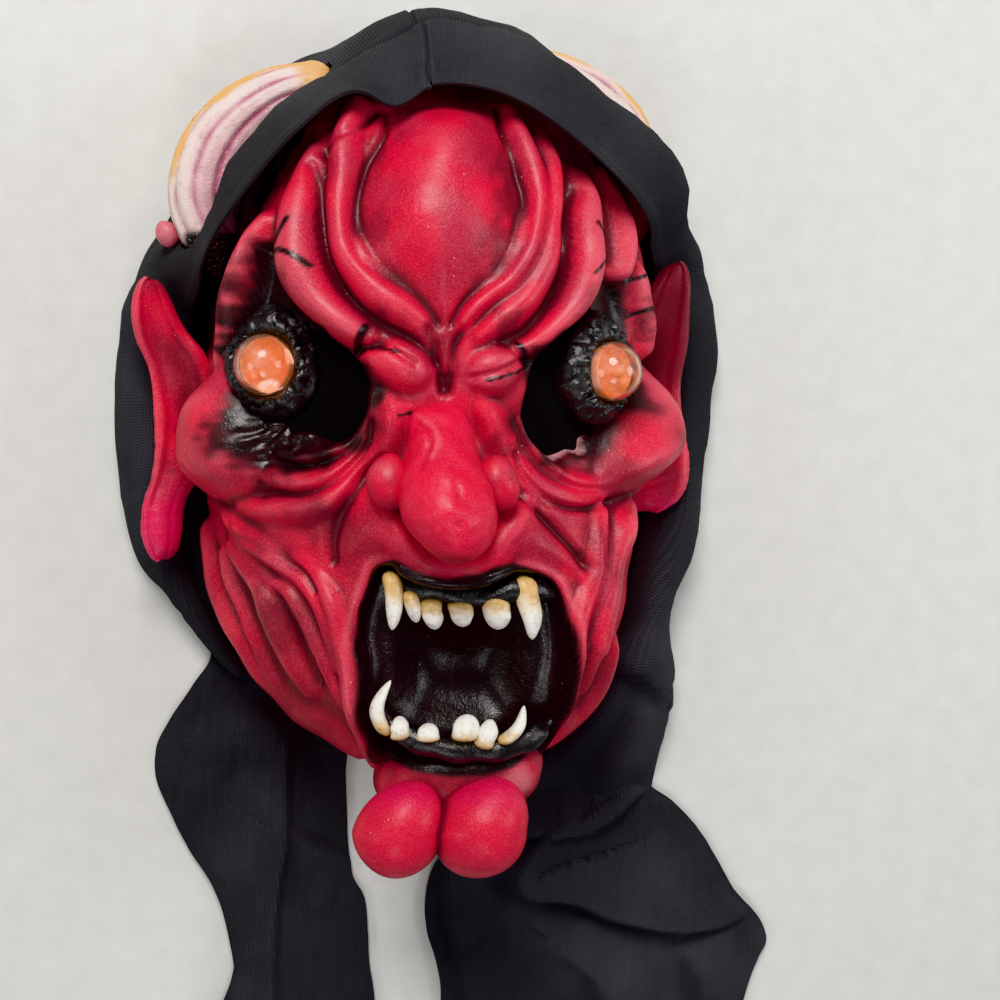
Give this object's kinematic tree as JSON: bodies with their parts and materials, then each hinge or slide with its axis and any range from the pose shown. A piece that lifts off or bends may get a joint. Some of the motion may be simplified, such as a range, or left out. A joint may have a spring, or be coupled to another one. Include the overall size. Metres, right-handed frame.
{
  "type": "hooded devil mask",
  "caption": "Full-face latex devil mask with horns, leaf ears, bulging amber eyes, open fanged mouth and a black cloth hood with two tails, lying on its back.",
  "frame": {"origin": "on the underside, in the middle of the whole object's box", "axes": "+X to the right as one looks at the face, +Y up the face to the crown, +Z out of the face"},
  "size_m": [0.2954, 0.461, 0.1418],
  "materials": {
    "latex": "satin, airbrushed red with black and pale details",
    "eye_plastic": "clear amber, glossy",
    "eye_fabric": "matt knit",
    "hood_fabric": "matt knit"
  },
  "bodies": {
    "root": {"mask": "latex", "eye_dome_left": "eye_plastic", "eye_dome_right": "eye_plastic", "eye_cloth_left": "eye_fabric", "eye_cloth_right": "eye_fabric", "hood": "hood_fabric"}
  },
  "joints": []
}
